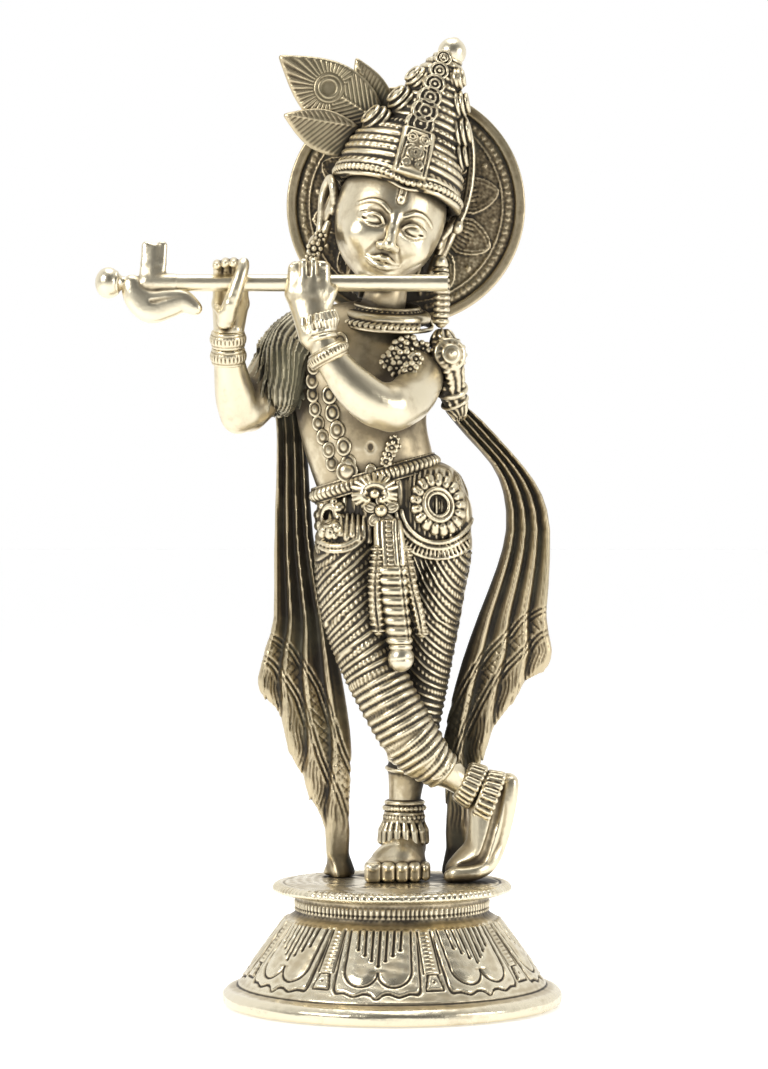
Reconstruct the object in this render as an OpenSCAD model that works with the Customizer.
// Cast brass figurine of a flute player with a halo, on a hollow bell pedestal.
// Millimetres. The origin is the centre of the pedestal's foot, +Z is up and the figure faces -Y.

/* [Pedestal] */
// Radius of the foot flange
foot_r = 53; // [50:0.5:58]
// Height of the whole pedestal, up to the face that the figure stands on
deck_z = 38; // [36:0.5:40]
// Radius of the deck plate
deck_r = 37.5; // [35:0.5:40]
// Wall of the hollow bell casting
wall = 2.6; // [2:0.1:3.5]

/* [Flute] */
// Outer diameter of the flute
flute_d = 5.2; // [4.8:0.1:5.4]
// Bore of the flute
flute_bore = 3; // [2:0.1:3.4]
// Height of the flute's axis
flute_z = 223.5; // [223:0.1:223.8]
// Forward place of the flute's axis
flute_y = -19; // [-19.4:0.1:-18.8]
// Radial clearance between the flute and the hands
flute_fit = 0.08; // [0.05:0.01:0.1]

/* [Halo] */
// Outer radius of the halo disc
halo_r = 37.4; // [34:0.2:40]
// Thickness of the halo disc at its rim
halo_t = 3.4; // [3:0.1:4]
// Radius of the stud that carries the halo
stud_r = 2; // [1.5:0.1:2.5]

/* [Fixings] */
// Shank radius of the screws under the deck
screw_r = 1.5; // [1.2:0.1:1.8]
// Head radius of those screws
screw_head_r = 2.8; // [2.4:0.1:3.2]

/* [Hidden] */

brass = "#b5945a";
pale_brass = "#cdb684";
dark_brass = "#7d6540";

sides = 14;               // sides of a limb's cross-section
steps = 2;                // rings between two stations of a limb
foot_t = 6;               // thickness of the foot flange
bell_top_r = 33;          // radius where the bell meets the neck
neck_r = 30;              // radius of the pedestal's neck
neck_z = 27;              // height where the neck starts
deck_t = 4;               // thickness of the deck plate
deck_under = deck_z - deck_t;
lean = 17;                // how far the head tilts towards the figure's left
turn = 8;                 // how far the head turns towards the figure's right
head_at = [-1.6, 4, 243]; // middle of the head
halo_at = [4.5, 25.4, 251.5];
flute_end = 17;           // free end of the flute, along X
flute_start = -74;        // end of the flute inside its ribbon
knob_at = [-87.4, flute_y, flute_z];
knob_r = 3.7;
flute_holes = 6;
// Where each screw comes up through the deck:
// standing heel, standing instep, crossed toes, both shawl tails
screws = [[4, 14], [3, 4], [21.6, 2], [-16.6, 16], [18, 14.6]];
washer_t = 1;             // thickness of a washer under the deck
washer_top = deck_under - 3;
screw_head_h = 2;
stud_from = 16;           // where the halo stud starts, along Y
nut_h = 2.6;              // thickness of the halo nut
// Outlines of the two shawl tails in X and Z: outer edge, hem, inner edge
right_tail_outer = [
    [-38, 192], [-36.6, 178], [-37, 160], [-37.6, 140], [-37.8, 120], [-40.4, 111],
    [-43, 101]
];
right_tail_hem = [
    [-42.4, 97.4], [-37, 91.5], [-30, 72.5], [-24, 60.5], [-21.4, 52], [-20.4, 44]
];
right_tail_inner = [
    [-13.4, 44], [-12.6, 62], [-12, 78], [-13.4, 91], [-16.4, 108], [-20.6, 126],
    [-24.4, 146], [-26, 168], [-27.6, 192]
];
left_tail_outer = [
    [22.5, 188], [29, 182.4], [36, 174.8], [42.4, 167.4], [47.8, 159], [50.4, 148],
    [50, 130], [49.4, 120], [51.4, 109.4]
];
left_tail_hem = [
    [50, 105.4], [42, 99], [35.4, 89.8], [28.4, 76], [24.8, 64], [23.4, 46]
];
left_tail_inner = [
    [17, 46], [16.2, 62], [15.2, 78], [17.4, 91], [21.6, 106.6], [27, 121.6],
    [32.6, 136], [35.6, 148], [34.8, 159.6], [31, 168.6], [23, 177.6], [16, 186]
];

// ---- shapes that repeat ----

function unit(v) = v / norm(v);
function curve_at(a, b, c, d, t) =
    0.5 * (2 * b + (c - a) * t + (2 * a - 5 * b + 4 * c - d) * t * t
        + (3 * b - a - 3 * c + d) * t * t * t);
// A smooth line of n steps a span through a list of stations
function smooth_line(st, n) = let (k = len(st)) [
    for (i = [0 : k - 2]) for (j = [0 : n - 1])
        curve_at(st[max(i - 1, 0)], st[i], st[i + 1], st[min(i + 2, k - 1)], j / n),
    st[k - 1]
];
function place(s) = [s[0], s[1], s[2]];
function along(line, i) = unit(place(line[min(i + 1, len(line) - 1)]) - place(line[max(i - 1, 0)]));
// Rings that close a limb's end with a dome as long as its smaller radius times bulge
function dome(s, way, bulge) = let (h = min(s[3], s[4]) * bulge) [
    for (a = [30, 60, 82]) let (p = place(s) + way * h * sin(a))
        [p[0], p[1], p[2], s[3] * cos(a), s[4] * cos(a)]
];
function backwards(v) = [for (i = [len(v) - 1 : -1 : 0]) v[i]];
function ring_of(s, t, ref, n) = let (u = unit(cross(t, ref)), v = cross(u, t)) [
    for (i = [0 : n - 1]) let (a = 360 * i / n) place(s) + u * s[3] * cos(a) + v * s[4] * sin(a)
];

// A limb: an elliptical tube through stations [x, y, z, radius across, radius along ref],
// domed at both ends
module limb(stations, ref = [0, 1, 0], n = sides, per = steps, bulge = [0.5, 0.5]) {
    core = smooth_line(stations, per);
    last = len(core) - 1;
    way0 = -along(core, 0);
    way1 = along(core, last);
    line = concat(
        bulge[0] > 0 ? backwards(dome(core[0], way0, bulge[0])) : [],
        core,
        bulge[1] > 0 ? dome(core[last], way1, bulge[1]) : []
    );
    k = len(line);
    before = bulge[0] > 0 ? 3 : 0;
    rings = [for (i = [0 : k - 1]) ring_of(line[i], along(core, min(max(i - before, 0), last)), ref, n)];
    polyhedron(
        points = [for (r = rings) for (p = r) p],
        faces = concat(
            [[for (i = [n - 1 : -1 : 0]) i]],
            [[for (i = [0 : n - 1]) (k - 1) * n + i]],
            [for (j = [0 : k - 2]) for (i = [0 : n - 1]) let (m = (i + 1) % n)
                each [
                    [j * n + i, j * n + m, (j + 1) * n + i],
                    [j * n + m, (j + 1) * n + m, (j + 1) * n + i]
                ]]
        ),
        convexity = 6
    );
}

// A round-section hoop of radii rx and ry about Z, drawn as a closed chain of rings
module hoop(rx, ry, thick, high, n = 36, m = 8) {
    points = [for (j = [0 : n - 1]) for (i = [0 : m - 1]) let (a = 360 * j / n, b = 360 * i / m)
        [(rx + thick * cos(b)) * cos(a), (ry + thick * cos(b)) * sin(a), high * sin(b)]];
    polyhedron(points = points, convexity = 4, faces = [
        for (j = [0 : n - 1]) for (i = [0 : m - 1]) let (jj = (j + 1) % n, ii = (i + 1) % m)
            each [[j * m + i, jj * m + i, j * m + ii], [j * m + ii, jj * m + i, jj * m + ii]]
    ]);
}

// An upright plate with the outline given in X and Z, between two depths
module upright(outline, y_from, y_to) {
    translate([0, y_to, 0]) rotate([90, 0, 0]) linear_extrude(height = y_to - y_from) polygon(outline);
}

// Half of space, above the deck
module above_deck() {
    intersection() {
        children();
        translate([-60, -60, deck_z]) cube([120, 120, 90]);
    }
}

// The flute's channel through a hand
module flute_channel(radius, length = 60, x = -36) {
    translate([x - length / 2, flute_y, flute_z]) rotate([0, 90, 0])
        cylinder(r = radius, h = length, $fn = 48);
}

// Puts its children in the head's own tilted and turned frame
module head_frame() {
    translate(head_at) rotate([0, lean, 0]) rotate([0, 0, -turn]) children();
}

// ---- pedestal ----

module pedestal_bell() {
    color(brass) rotate_extrude($fn = 96) polygon([
            [foot_r - 9, 0], [foot_r - 1.6, 0], [foot_r, 1.8], [foot_r, 3.8],
            [foot_r - 1.6, foot_t - 0.6],
            [foot_r - 4, foot_t], [foot_r - 5.5, foot_t + 1.4], [bell_top_r, neck_z],
            [neck_r + 0.6, neck_z + 1.4],
            [neck_r, neck_z + 2.4], [neck_r, deck_under], [neck_r - wall, deck_under],
            [neck_r - wall, neck_z], [foot_r - 9, foot_t - 2]
        ]);
}

module deck_plate() {
    color(brass) difference() {
        union() {
            rotate_extrude($fn = 96) polygon([
                [0, deck_under], [neck_r + 1, deck_under], [deck_r - 1.6, deck_under + 1],
                [deck_r, deck_under + 2.2], [deck_r - 0.6, deck_z - 0.5], [deck_r - 1.6, deck_z], [0, deck_z]
            ]);
            translate([0, 0, deck_under - 3]) cylinder(r = neck_r - wall - 0.05, h = 4, $fn = 96);
        }
        for (p = screws)
            translate([p[0], p[1], deck_under - 5]) cylinder(r = screw_r + 0.1, h = 12, $fn = 32);
    }
}

module deck_washers() {
    color(pale_brass) for (p = screws) translate([p[0], p[1], washer_top - washer_t]) difference() {
        cylinder(r = screw_head_r + 0.6, h = washer_t, $fn = 40);
        translate([0, 0, -1]) cylinder(r = screw_r + 0.1, h = washer_t + 2, $fn = 32);
    }
}

module deck_screws() {
    head_at_z = washer_top - washer_t - screw_head_h;
    color(pale_brass) for (p = screws) translate([p[0], p[1], head_at_z]) difference() {
        union() {
            cylinder(r = screw_head_r, h = screw_head_h, $fn = 40);
            cylinder(r = screw_r, h = deck_z - washer_top + washer_t + screw_head_h + 3, $fn = 32);
        }
        translate([-4, -0.4, -1]) cube([8, 0.8, 1.8]);
    }
}

// ---- legs ----

module standing_leg_whole() {
    limb([
        [14.2, 9.4, 146, 11.2, 11.8],
        [13.9, 9.6, 140, 11.3, 11.9],
        [13, 10, 132, 10.6, 11.4],
        [11.6, 11, 118, 9.6, 10.4],
        [10.2, 11.5, 104, 8.5, 9.4],
        [8, 12, 89, 7.9, 8.8],
        [5.6, 12.6, 76, 7.2, 8],
        [4.6, 13, 69, 6.2, 6.6],
        [4, 13, 62, 5.4, 5.8],
        [3.6, 13, 50, 5.6, 6]
    ]);
}

module standing_leg() {
    color(brass) difference() {
        standing_leg_whole();
        hips_whole();
    }
}

module standing_foot_whole() {
    above_deck() limb([
        [4.6, 20, 42.6, 5.2, 5.6],
        [4.2, 13, 44, 6.2, 7],
        [2.8, 5, 43, 8, 6.4],
        [1.6, -2, 41.6, 9.6, 5]
    ], ref = [0, 0, 1], bulge = [0.8, 0.7]);
}

module standing_foot() {
    color(brass) difference() {
        standing_foot_whole();
        standing_leg_whole();
    }
}

module standing_anklet_whole() {
    limb([
        [3.8, 13, 61.5, 6.6, 7],
        [3.4, 12.6, 57, 7.2, 7.6],
        [2.8, 12, 52.5, 8.4, 8.4],
        [2.4, 11.6, 49.5, 9, 8.8]
    ], bulge = [0.1, 0.1]);
}

module standing_anklet() {
    color(pale_brass) difference() {
        standing_anklet_whole();
        standing_leg_whole();
        standing_foot_whole();
    }
}

module crossed_leg_whole() {
    limb([
        [-12.9, 4.4, 146, 11.3, 11.6],
        [-13.2, 3, 138, 11.3, 11.6],
        [-11.8, 0, 123, 10.9, 11],
        [-7.5, -3, 108.5, 9.9, 10],
        [-0.5, -5, 93.5, 9.4, 9.3],
        [7.5, -5, 80.5, 9.3, 8.6],
        [13, -4, 75, 7.4, 7],
        [16, -3, 73, 5.8, 5.6],
        [19.5, -1.6, 70.6, 4.6, 4.7],
        [25, 0, 66.8, 4.4, 4.6]
    ]);
}

module crossed_leg() {
    color(brass) difference() {
        crossed_leg_whole();
        hips_whole();
    }
}

module crossed_foot_whole() {
    above_deck() {
        hull() {
            translate([36.6, 2.5, 69]) sphere(r = 3.4, $fn = 24);
            translate([28.6, 1, 64.6]) sphere(r = 4.8, $fn = 24);
            translate([27.6, 1.5, 46.4]) scale([0.9, 1.35, 1]) sphere(r = 5.2, $fn = 24);
            translate([26.8, 1.5, 52]) sphere(r = 3.6, $fn = 24);
        }
        hull() {
            translate([27.4, 1.5, 45.6]) scale([0.9, 1.35, 1]) sphere(r = 5.2, $fn = 24);
            translate([23.6, 1.5, 46.8]) sphere(r = 3.2, $fn = 24);
            translate([19.6, 2, 41.4]) scale([1, 2, 1]) sphere(r = 3.4, $fn = 24);
        }
    }
}

module crossed_foot() {
    color(brass) difference() {
        crossed_foot_whole();
        crossed_leg_whole();
    }
}

module crossed_anklets_whole() {
    for (p = [[25.3, 0, 66.6], [29.6, 1, 63.2]])
        translate(p) rotate([0, 128, 0]) hoop(5.6, 5.8, 2.3, 2.1, n = 28);
}

module crossed_anklets() {
    color(pale_brass) difference() {
        crossed_anklets_whole();
        crossed_foot_whole();
    }
}

// ---- trunk and head ----

module hips_whole() {
    limb([
        [-3.4, 8, 166, 19, 12.2],
        [-2.2, 8.4, 161, 22.6, 13.6],
        [0.2, 9, 154.5, 24.8, 14.4],
        [0.8, 9, 148, 24.6, 14.4],
        [0.8, 9, 140, 20, 12.6],
        [0.6, 8.6, 133, 13.5, 10]
    ], bulge = [0.2, 0.5]);
}

module hips() {
    color(brass) difference() {
        hips_whole();
        torso_whole();
    }
}

module torso_whole() {
    limb([
        [-4.5, 8, 164, 19.5, 11.6],
        [-6.8, 8, 171, 19.8, 11],
        [-8.8, 8, 179, 20.4, 11.2],
        [-9.6, 8, 188, 21.6, 12.4],
        [-9, 8, 197, 23, 13.2],
        [-7.6, 8, 205, 24.2, 12.4],
        [-5.4, 8, 211.5, 18, 10.2],
        [-3.8, 8, 215, 11, 8.4]
    ], bulge = [0.3, 0.3]);
}

module torso() {
    color(brass) torso_whole();
}

module neck_whole() {
    limb([
        [-3.6, 8, 211, 8, 8],
        [-2.6, 7, 219, 7.2, 7.2],
        [-1.4, 6, 228, 7.6, 7.6],
        [-0.8, 5.6, 233, 8, 8]
    ]);
}

module neck() {
    color(brass) difference() {
        neck_whole();
        torso_whole();
        head_whole();
    }
}

module head_whole() {
    head_frame() limb([
        [0, -7, -15.5, 5.6, 5.4],
        [0, -4, -12.6, 10.4, 11],
        [0, -1.4, -7, 15.2, 15],
        [0, 0, 0, 17.4, 17],
        [0, 0.8, 7, 17.8, 17.4],
        [0, 1.2, 14, 16, 16.2],
        [0, 1.4, 19.4, 12, 12.6]
    ], bulge = [0.5, 0.6], n = 20, per = 2);
}

module head() {
    color(brass) head_whole();
}

module ears_whole() {
    head_frame() for (side = [-1, 1])
        limb([
            [side * 18, 3, 6, 2, 2.6],
            [side * 19, 4, 3, 2.2, 3.6],
            [side * 18.8, 4, -2, 2, 3],
            [side * 18.4, 3, -8, 1.6, 2]
        ],
            bulge = [0.6, 0.6], n = 12, per = 2);
}

module ears() {
    color(brass) difference() {
        ears_whole();
        head_whole();
    }
}

module back_hair_whole() {
    head_frame() limb([
        [0, 13, 9, 12, 4.6],
        [0, 14, 2, 14, 4.6],
        [0, 13.4, -8, 13, 4.6],
        [0, 12, -17, 11, 4],
        [0, 11, -22, 7, 3]
    ], n = 14);
}

module back_hair() {
    color(dark_brass) difference() {
        back_hair_whole();
        head_whole();
        crown_cap_whole();
    }
}

// ---- arms ----

module right_upper_arm_whole() {
    limb([
        [-31, 7, 204, 8.4, 8.6],
        [-37, 4, 197, 8.2, 8.4],
        [-42, 0, 189, 7.4, 7.6],
        [-46.5, -3.4, 183.4, 6.8, 7]
    ], ref = [1, 0, 0]);
}

module right_upper_arm() {
    color(brass) difference() {
        right_upper_arm_whole();
        torso_whole();
    }
}

module right_forearm_whole() {
    limb([
        [-46.7, -3.6, 183.2, 6.9, 7],
        [-48.2, -7.5, 188, 6.7, 6.8],
        [-49.6, -12.4, 195.5, 5.6, 5.6],
        [-50.4, -15.6, 203, 4.5, 4.7],
        [-50.4, -17.2, 208, 4.4, 4.8]
    ], ref = [1, 0, 0]);
}

module right_forearm() {
    color(brass) difference() {
        right_forearm_whole();
        right_upper_arm_whole();
        right_hand_whole();
    }
}

module right_hand_whole() {
    difference() {
        union() {
            hull() {
                translate([-50.4, -17.4, 209]) sphere(r = 4, $fn = 24);
                translate([-52, flute_y + 5.4, 219]) sphere(r = 3.2, $fn = 24);
                translate([-45.5, flute_y + 5, 219]) sphere(r = 3.2, $fn = 24);
            }
            hull() {
                translate([-53, flute_y + 6, 217]) sphere(r = 2.6, $fn = 24);
                translate([-44.6, flute_y + 6, 217]) sphere(r = 2.6, $fn = 24);
                translate([-53, flute_y + 2, 229.2]) sphere(r = 2.4, $fn = 24);
                translate([-44.8, flute_y + 2, 229.4]) sphere(r = 2.4, $fn = 24);
            }
            hull() {
                translate([-50.8, flute_y - 3, 213]) sphere(r = 2.4, $fn = 24);
                translate([-46.4, flute_y - 4.6, 224]) sphere(r = 1.7, $fn = 24);
            }
            hull() {
                translate([-46.4, flute_y - 4.6, 224]) sphere(r = 1.7, $fn = 24);
                translate([-45, flute_y - 2, 229.8]) sphere(r = 1.9, $fn = 24);
            }
        }
        flute_channel(flute_d / 2 + flute_fit);
    }
}

module right_hand() {
    color(brass) right_hand_whole();
}

module right_bracelets_whole() {
    for (p = [[-50.5, -16.4, 206.2], [-50.3, -15, 200.8]])
        translate(p) rotate([-18, 0, 0]) hoop(4.3, 4.5, 1.5, 2, n = 24);
}

module right_bracelets() {
    color(pale_brass) difference() {
        right_bracelets_whole();
        right_forearm_whole();
        right_hand_whole();
    }
}

module left_upper_arm_whole() {
    limb([
        [10.6, 6, 199, 6.8, 7.4],
        [8.8, -2, 193.8, 7.1, 7.6],
        [5, -14, 188, 7.6, 7.7],
        [-0.5, -22.6, 184.8, 7.5, 7.7]
    ], ref = [0, 0, 1]);
}

module left_upper_arm() {
    color(brass) difference() {
        left_upper_arm_whole();
        torso_whole();
    }
}

module left_forearm_whole() {
    limb([
        [0, -22.4, 184.9, 7.6, 7.8],
        [-5.4, -25, 186.2, 7.3, 7.5],
        [-11.4, -26.6, 191, 6.7, 6.8],
        [-17, -27, 197.4, 5.5, 5.6],
        [-20.6, -27, 203, 4.8, 4.9],
        [-22, -26.8, 208, 4.6, 4.8]
    ], ref = [0, 1, 0]);
}

module left_forearm() {
    color(brass) difference() {
        left_forearm_whole();
        left_upper_arm_whole();
        left_hand_whole();
    }
}

module left_hand_whole() {
    difference() {
        union() {
            hull() {
                translate([-22.2, -26.6, 208.5]) scale([1.1, 0.8, 1]) sphere(r = 4.4, $fn = 24);
                translate([-28.6, flute_y - 6, 224]) sphere(r = 3.2, $fn = 24);
                translate([-20.6, flute_y - 5.6, 224]) sphere(r = 3.2, $fn = 24);
                translate([-29.4, flute_y - 4.4, 229.6]) sphere(r = 2.4, $fn = 24);
                translate([-20.2, flute_y - 4.4, 228.6]) sphere(r = 2.4, $fn = 24);
            }
            hull() for (x = [-29.8, -20]) {
                translate([x, flute_y - 4, 229]) sphere(r = 2.5, $fn = 24);
                translate([x, flute_y + 3, 227.8]) sphere(r = 2.3, $fn = 24);
                translate([x, flute_y + 4.6, 221.5]) sphere(r = 2, $fn = 24);
            }
        }
        flute_channel(flute_d / 2 + flute_fit);
    }
}

module left_hand() {
    color(brass) left_hand_whole();
}

module left_bracelet_whole() {
    translate([-19.4, -27, 201]) rotate([0, -28, 0]) hoop(5, 5.1, 1.6, 2.2, n = 26);
}

module left_bracelet() {
    color(pale_brass) difference() {
        left_bracelet_whole();
        left_forearm_whole();
    }
}

module left_hand_jewel_whole() {
    translate([-21.4, -27, 209.6]) rotate([0, -14, 0])
        limb([
            [0, 0, -3.4, 5.4, 5.4],
            [0, 0, 0, 5.6, 5.4],
            [0, -0.4, 3.6, 3.8, 4.2]
        ], bulge = [0.1, 0.4], n = 14);
}

module left_hand_jewel() {
    color(pale_brass) difference() {
        left_hand_jewel_whole();
        left_hand_whole();
        left_forearm_whole();
    }
}

// ---- crown, feathers, halo ----

module crown_band_whole() {
    head_frame() translate([0, 0, 12]) rotate([-10, 0, 0]) hoop(19, 17, 1.8, 2.2, n = 36);
}

module crown_band() {
    color(pale_brass) difference() {
        crown_band_whole();
        crown_cap_whole();
        head_whole();
    }
}

module crown_cap_whole() {
    head_frame() limb([
        [-0.4, 1, 13, 19.4, 18.2],
        [-0.8, 1.4, 18.6, 20, 17.8],
        [-0.8, 2, 24.6, 18, 16.2],
        [-0.4, 2.4, 29.4, 14, 13.4]
    ], bulge = [0.1, 0.1], n = 24);
}

module crown_cap() {
    color(brass) difference() {
        crown_cap_whole();
        head_whole();
    }
}

module crown_cone_whole() {
    limb([
        [8, 7, 267, 13.4, 13],
        [9.8, 7.4, 274, 13, 12],
        [12, 8, 281, 11, 10.4],
        [14, 8.4, 287.6, 8.8, 8.4],
        [16.4, 8.6, 293, 6.6, 6.4],
        [18, 8.8, 296, 5.2, 5.2]
    ], bulge = [0.1, 0.2]);
}

module crown_cone() {
    color(brass) difference() {
        crown_cone_whole();
        crown_cap_whole();
        head_whole();
    }
}

module crown_finial_whole() {
    translate([19, 8.8, 298.2]) sphere(r = 4.3, $fn = 40);
}

module crown_finial() {
    color(pale_brass) difference() {
        crown_finial_whole();
        crown_cone_whole();
    }
}

module crown_front_plate() {
    color(pale_brass) limb([
        [1.4, -12.4, 258.2, 7, 1.6],
        [3.4, -11.6, 264, 6.6, 1.6],
        [6, -8.6, 271, 5.2, 1.8],
        [8.8, -5, 279, 4, 2],
        [12, -1.6, 287, 3.2, 2.2],
        [14.6, 1.6, 293.4, 2.6, 2.2]
    ], n = 12, per = 2);
}

module crown_fans_whole() {
    for (f = [
        [0.6, 2, 274, 4.6],
        [3.8, 3, 282, 4.4],
        [7, 4, 289.4, 3.6],
        [19, 2, 273, 4],
        [20, 3.6, 282, 3.6]
    ])
        translate([f[0], f[1], f[2]]) rotate([0, lean, 0]) scale([1.1, 0.8, 0.8]) sphere(r = f[3], $fn = 28);
}

module crown_fans() {
    color(brass) difference() {
        crown_fans_whole();
        crown_cap_whole();
        crown_cone_whole();
    }
}

module crown_ribbon_whole() {
    limb([
        [21, 8, 281, 1.5, 1.4],
        [23.6, 8.6, 275, 1.6, 1.4],
        [25, 8.8, 266, 1.7, 1.4],
        [24.4, 8.6, 256, 1.7, 1.4],
        [22.4, 8, 248, 1.6, 1.4],
        [20, 7.4, 243, 1.6, 1.4]
    ], n = 10, per = 2);
}

module crown_ribbon() {
    color(pale_brass) difference() {
        crown_ribbon_whole();
        crown_band_whole();
        crown_cone_whole();
        ears_whole();
    }
}

// A leaf in X and Z from its stalk to its tip, of the given half width,
// with its fullest point at the share 'belly'
function leaf(stalk, tip, half, belly = 0.5, n = 10) = let (
    way = tip - stalk, across = unit([-way[1], way[0]]),
    width = function (t) half * (
        t < belly ? sqrt(max(0, 1 - pow(1 - t / belly, 2))) : cos(90 * (t - belly) / (1 - belly))
    )
) concat(
    [for (i = [0 : n]) stalk + way * i / n + across * max(width(i / n), 0.15)],
    [for (i = [n : -1 : 0]) stalk + way * i / n - across * max(width(i / n), 0.15)]
);

module feather_plume_whole() {
    upright(leaf([-4, 274], [-36, 297.5], 10.6, belly = 0.42), 7.4, 9.8);
}

module feather_plume() {
    color(dark_brass) difference() {
        feather_plume_whole();
        crown_cap_whole();
        crown_cone_whole();
    }
}

module feather_leaf_upper_whole() {
    upright(leaf([-1, 274], [-11.6, 297.5], 5.8, belly = 0.46), 9.8, 11.8);
}

module feather_leaf_upper() {
    color(dark_brass) difference() {
        feather_leaf_upper_whole();
        crown_cap_whole();
        crown_cone_whole();
    }
}

module feather_leaf_lower_whole() {
    upright(leaf([-7, 267.6], [-34.6, 278.6], 7, belly = 0.5), 5.2, 7.4);
}

module feather_leaf_lower() {
    color(dark_brass) difference() {
        feather_leaf_lower_whole();
        crown_cap_whole();
        crown_cone_whole();
    }
}

module halo_disc() {
    rim = 2.6;
    color(brass) translate(halo_at) rotate([90, 0, 0]) difference() {
        cylinder(r = halo_r, h = halo_t, center = true, $fn = 96);
        translate([0, 0, halo_t / 2 - 1.2]) cylinder(r = halo_r - rim, h = 3, $fn = 96);
        cylinder(r = stud_r + 0.1, h = 20, center = true, $fn = 40);
    }
}

module halo_stud() {
    color(pale_brass) translate([halo_at[0], halo_at[1] - stud_from + halo_t, halo_at[2]]) rotate([-90, 0, 0])
        cylinder(r = stud_r, h = stud_from + nut_h, $fn = 40);
}

module halo_nut() {
    color(pale_brass)
    translate([halo_at[0], halo_at[1] + halo_t / 2, halo_at[2]]) rotate([-90, 0, 0]) difference() {
        cylinder(r = 4.2, h = nut_h, $fn = 6);
        translate([0, 0, -1]) cylinder(r = stud_r, h = nut_h + 2, $fn = 40);
    }
}

// ---- flute ----

module flute_tube() {
    color(pale_brass) translate([flute_start, flute_y, flute_z]) rotate([0, 90, 0]) difference() {
        cylinder(r = flute_d / 2, h = flute_end - flute_start, $fn = 64);
        translate([0, 0, 8]) cylinder(r = flute_bore / 2, h = flute_end - flute_start, $fn = 40);
        for (i = [0 : flute_holes - 1])
            translate([0, 0, 58 + 5 * i]) rotate([0, -90, 0]) cylinder(r = 0.8, h = 5, $fn = 24);
    }
}

module flute_knob() {
    color(pale_brass) translate(knob_at) {
        sphere(r = knob_r, $fn = 40);
        rotate([0, 90, 0]) cylinder(r = 1.6, h = 9, $fn = 32);
    }
}

module flute_ribbon() {
    color(pale_brass) {
        limb([
            [-80, -19, 223.6, 3, 3],
            [-78.2, -19, 219.8, 4, 3.6],
            [-74.2, -19.4, 216.8, 4.8, 3.6],
            [-69, -20, 217.6, 3.8, 2.8],
            [-64.4, -20.2, 218.4, 2.4, 2.2],
            [-60.2, -20.4, 216, 1.8, 1.6]
        ], bulge = [0.5, 0.3]);
        limb([
            [-74, -19, 224, 4.2, 2.6],
            [-73.8, -18.6, 229.4, 3.3, 2],
            [-73.4, -18, 235.4, 4.2, 1.6]
        ], bulge = [0.3, 0.1]);
    }
}

// ---- jewellery ----

module right_earring() {
    color(pale_brass) {
        limb([
            [-22.6, 4, 241, 2.2, 2.2],
            [-23.4, 2, 238, 3, 3],
            [-24, 0, 235, 3, 3],
            [-24.6, -2, 232.4, 2, 2]
        ], n = 12, per = 2);
    }
}

module left_earring_whole() {
    limb([
        [15, 3, 231, 2.6, 2.4],
        [15.4, 0, 227, 2.6, 2.6],
        [15.6, -1, 220, 2.5, 2.5],
        [15.2, -1.4, 212, 2.4, 2.4]
    ], n = 12, per = 2);
}

module left_earring() {
    color(pale_brass) difference() {
        left_earring_whole();
        ears_whole();
    }
}

module collar_whole() {
    translate([-3, 7, 214.4]) rotate([12, 4, 0]) hoop(15, 13.4, 2, 2.2, n = 36);
}

module collar() {
    color(pale_brass) difference() {
        collar_whole();
        torso_whole();
        shoulder_cape_whole();
    }
}

module bead_garland_whole() {
    limb([
        [-18, -4, 207, 2.4, 1.8],
        [-21.4, -5, 200, 3.4, 2.2],
        [-22.2, -5.4, 192, 4, 2.4],
        [-20.8, -4.8, 183, 4.4, 2.4],
        [-18, -4, 174.6, 4.4, 2.4],
        [-14.4, -4, 169, 3.8, 2.4]
    ], n = 12);
}

module bead_garland() {
    color(pale_brass) difference() {
        bead_garland_whole();
        torso_whole();
    }
}

module garland_pendant() {
    color(pale_brass) {
        translate([-14, -5, 166]) sphere(r = 3.8, $fn = 32);
        translate([-6.4, -5.6, 165]) scale([2.2, 2, 3.4]) sphere(r = 1, $fn = 24);
    }
}

module flower_garland() {
    color(pale_brass) {
        limb([
            [13, -2.6, 208.4, 2.8, 2.4],
            [9.6, -5.4, 205.4, 4, 2.8],
            [6.6, -6.6, 201, 4.6, 2.8],
            [4, -6.4, 196.4, 3.6, 2.6]
        ], n = 12);
        limb([
            [2, -4.8, 176, 2.6, 1.8],
            [0.6, -4.8, 171.6, 3.4, 2],
            [-1.6, -5.2, 167.6, 2.6, 1.8]
        ], n = 12);
    }
}

module belt() {
    color(pale_brass) translate([-5.4, 8.4, 164]) rotate([0, -16.5, 0]) hoop(19.8, 13.2, 1.8, 3, n = 40);
}

module belt_leaves() {
    color(pale_brass) translate([-5.4, -6.4, 160.6]) rotate([0, -6, 0])
        scale([8.6, 2.6, 5]) sphere(r = 1, $fn = 32);
}

module belt_flower() {
    petals = 5;
    color(pale_brass) translate([-3.4, -7.2, 153.6]) rotate([90, 0, 0]) {
        for (i = [0 : petals - 1]) rotate(90 + 360 * i / petals)
            limb([
                [1.5, 0, 0, 1.3, 1.3],
                [3, 0, 0, 1.9, 1.6],
                [4.4, 0, 0, 1.7, 1.2]
            ], ref = [0, 0, 1], n = 12);
        limb([[0, 0, -1.6, 2.1, 2.1], [0, 0, 1.4, 2, 2]], n = 16);
    }
}

module hip_medallion_whole() {
    translate([15, -4.8, 155.4]) rotate([0, 18, 0]) rotate([82, 0, 26])
        scale([8, 9.6, 2.4]) sphere(r = 1, $fn = 40);
    translate([-20.4, -1.4, 146]) rotate([0, -10, 0]) rotate([84, 0, -52])
        scale([5, 7, 2]) sphere(r = 1, $fn = 32);
}

module hip_medallion() {
    color(pale_brass) difference() {
        hip_medallion_whole();
        hips_whole();
        standing_leg_whole();
        crossed_leg_whole();
    }
}

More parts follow.
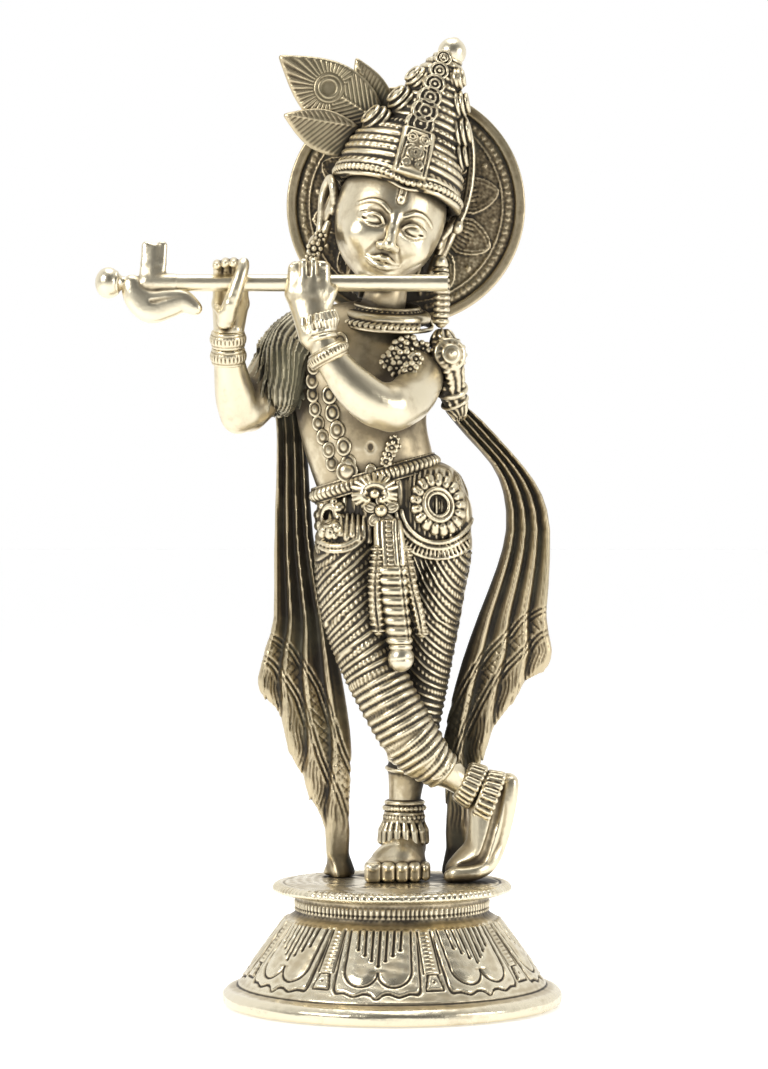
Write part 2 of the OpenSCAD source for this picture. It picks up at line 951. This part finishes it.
module hip_swags() {
    color(pale_brass) {
        limb([
            [3, -5.4, 152, 1.4, 1.6],
            [7, -6.4, 144.6, 1.8, 1.8],
            [14.6, -5.4, 140.6, 2, 1.8],
            [22, -0.4, 144.6, 1.8, 1.8],
            [25.4, 5, 152, 1.4, 1.6]
        ], n = 10);
        limb([
            [-7, -6.2, 150, 1.4, 1.6],
            [-9.6, -7.4, 142, 1.8, 1.8],
            [-15.8, -6.6, 136.4, 1.8, 1.8],
            [-22.4, -1.8, 134.4, 1.6, 1.6]
        ], n = 10);
    }
}

module front_sash_whole() {
    limb([
        [-1.4, -7.4, 150.6, 4.6, 2.2],
        [-0.8, -9, 143, 5.2, 2.6],
        [0, -10.2, 133, 5, 2.8],
        [1.2, -11.4, 122, 4.2, 3],
        [2.4, -12.4, 113, 3.9, 3]
    ], n = 14);
}

module front_sash() {
    color(brass) difference() {
        front_sash_whole();
        hips_whole();
    }
}

module sash_ball_whole() {
    translate([2.6, -13, 108.6]) sphere(r = 4.3, $fn = 40);
}

module sash_ball() {
    color(pale_brass) difference() {
        sash_ball_whole();
        front_sash_whole();
        crossed_leg_whole();
    }
}

module sash_loops_whole() {
    limb([
        [-4.6, -8.6, 142, 2, 1.8],
        [-5.4, -10, 132, 2.4, 2],
        [-5, -11.4, 122, 2.6, 2.2],
        [-4.2, -12.2, 115.6, 2.6, 2.2]
    ], n = 12, per = 2);
    limb([
        [4, -7.6, 142, 1.8, 1.6],
        [6, -8.6, 131, 2.2, 1.8],
        [8, -8.8, 121, 2.2, 1.8],
        [9.4, -8, 114.6, 1.8, 1.6]
    ], n = 12, per = 2);
}

module sash_loops() {
    color(brass) difference() {
        sash_loops_whole();
        front_sash_whole();
        crossed_leg_whole();
    }
}

// ---- shawl ----

module shoulder_cape_whole() {
    limb([
        [-21, 9, 212.6, 6, 9],
        [-27.4, 8, 210, 8.6, 10.6],
        [-33.6, 5, 202, 10.2, 11.6],
        [-36.2, 2.4, 194, 9.4, 11.2],
        [-37.6, 1, 187.2, 8, 10.4]
    ], ref = [0, 1, 0]);
}

module shoulder_cape() {
    color(dark_brass) difference() {
        shoulder_cape_whole();
        torso_whole();
        right_upper_arm_whole();
        right_forearm_whole();
    }
}

// The tails' outlines run down the outer side and back up the inner one, as [x, z]

function tail_outline(outer, hem, inner) =
    concat(smooth_line(outer, 2), smooth_line(hem, 2), smooth_line(inner, 2));

module right_shawl_tail_whole() {
    upright(tail_outline(right_tail_outer, right_tail_hem, right_tail_inner), 12, 18);
    translate([-16.6, 16, deck_z]) cylinder(r1 = 6, r2 = 3.4, h = 7, $fn = 40);
}

module right_shawl_tail() {
    color(dark_brass) difference() {
        right_shawl_tail_whole();
        torso_whole();
        shoulder_cape_whole();
    }
}

module left_shawl_tail_whole() {
    upright(tail_outline(left_tail_outer, left_tail_hem, left_tail_inner), 12, 18);
    translate([20, 16, deck_z]) cylinder(r1 = 5, r2 = 3.2, h = 9, $fn = 40);
}

module left_shawl_tail() {
    color(dark_brass) left_shawl_tail_whole();
}

module shawl_knot_whole() {
    limb([
        [15.6, 4, 208.5, 3.8, 5.2],
        [16.6, 2.4, 203, 5.6, 6.2],
        [17.4, 3.4, 197, 5.4, 5.8],
        [19.4, 9, 189.6, 4, 4.6],
        [22, 14, 183, 3.8, 3.6]
    ]);
}

module shawl_knot() {
    color(brass) difference() {
        shawl_knot_whole();
        torso_whole();
        left_upper_arm_whole();
        left_shawl_tail_whole();
    }
}

module shawl_back_whole() {
    limb([
        [-27, 15, 206, 9, 2.4],
        [-20, 19, 201, 10, 2.6],
        [-8, 21, 197, 10, 2.6],
        [6, 19, 197.6, 9, 2.6],
        [16, 14, 201, 7, 2.4]
    ], ref = [0, 1, 0]);
}

module shawl_back() {
    color(dark_brass) difference() {
        shawl_back_whole();
        torso_whole();
        shoulder_cape_whole();
        shawl_knot_whole();
    }
}

pedestal_bell();
deck_plate();
deck_screws();
deck_washers();
standing_leg();
standing_foot();
standing_anklet();
crossed_leg();
crossed_foot();
crossed_anklets();
hips();
torso();
neck();
head();
ears();
back_hair();
right_upper_arm();
right_forearm();
right_hand();
right_bracelets();
left_upper_arm();
left_forearm();
left_hand();
left_bracelet();
left_hand_jewel();
crown_band();
crown_cap();
crown_cone();
crown_front_plate();
crown_fans();
crown_finial();
crown_ribbon();
feather_plume();
feather_leaf_upper();
feather_leaf_lower();
halo_disc();
halo_stud();
halo_nut();
flute_tube();
flute_ribbon();
flute_knob();
right_earring();
left_earring();
collar();
bead_garland();
garland_pendant();
flower_garland();
belt();
belt_leaves();
belt_flower();
hip_medallion();
hip_swags();
front_sash();
sash_ball();
sash_loops();
shoulder_cape();
right_shawl_tail();
shawl_back();
shawl_knot();
left_shawl_tail();
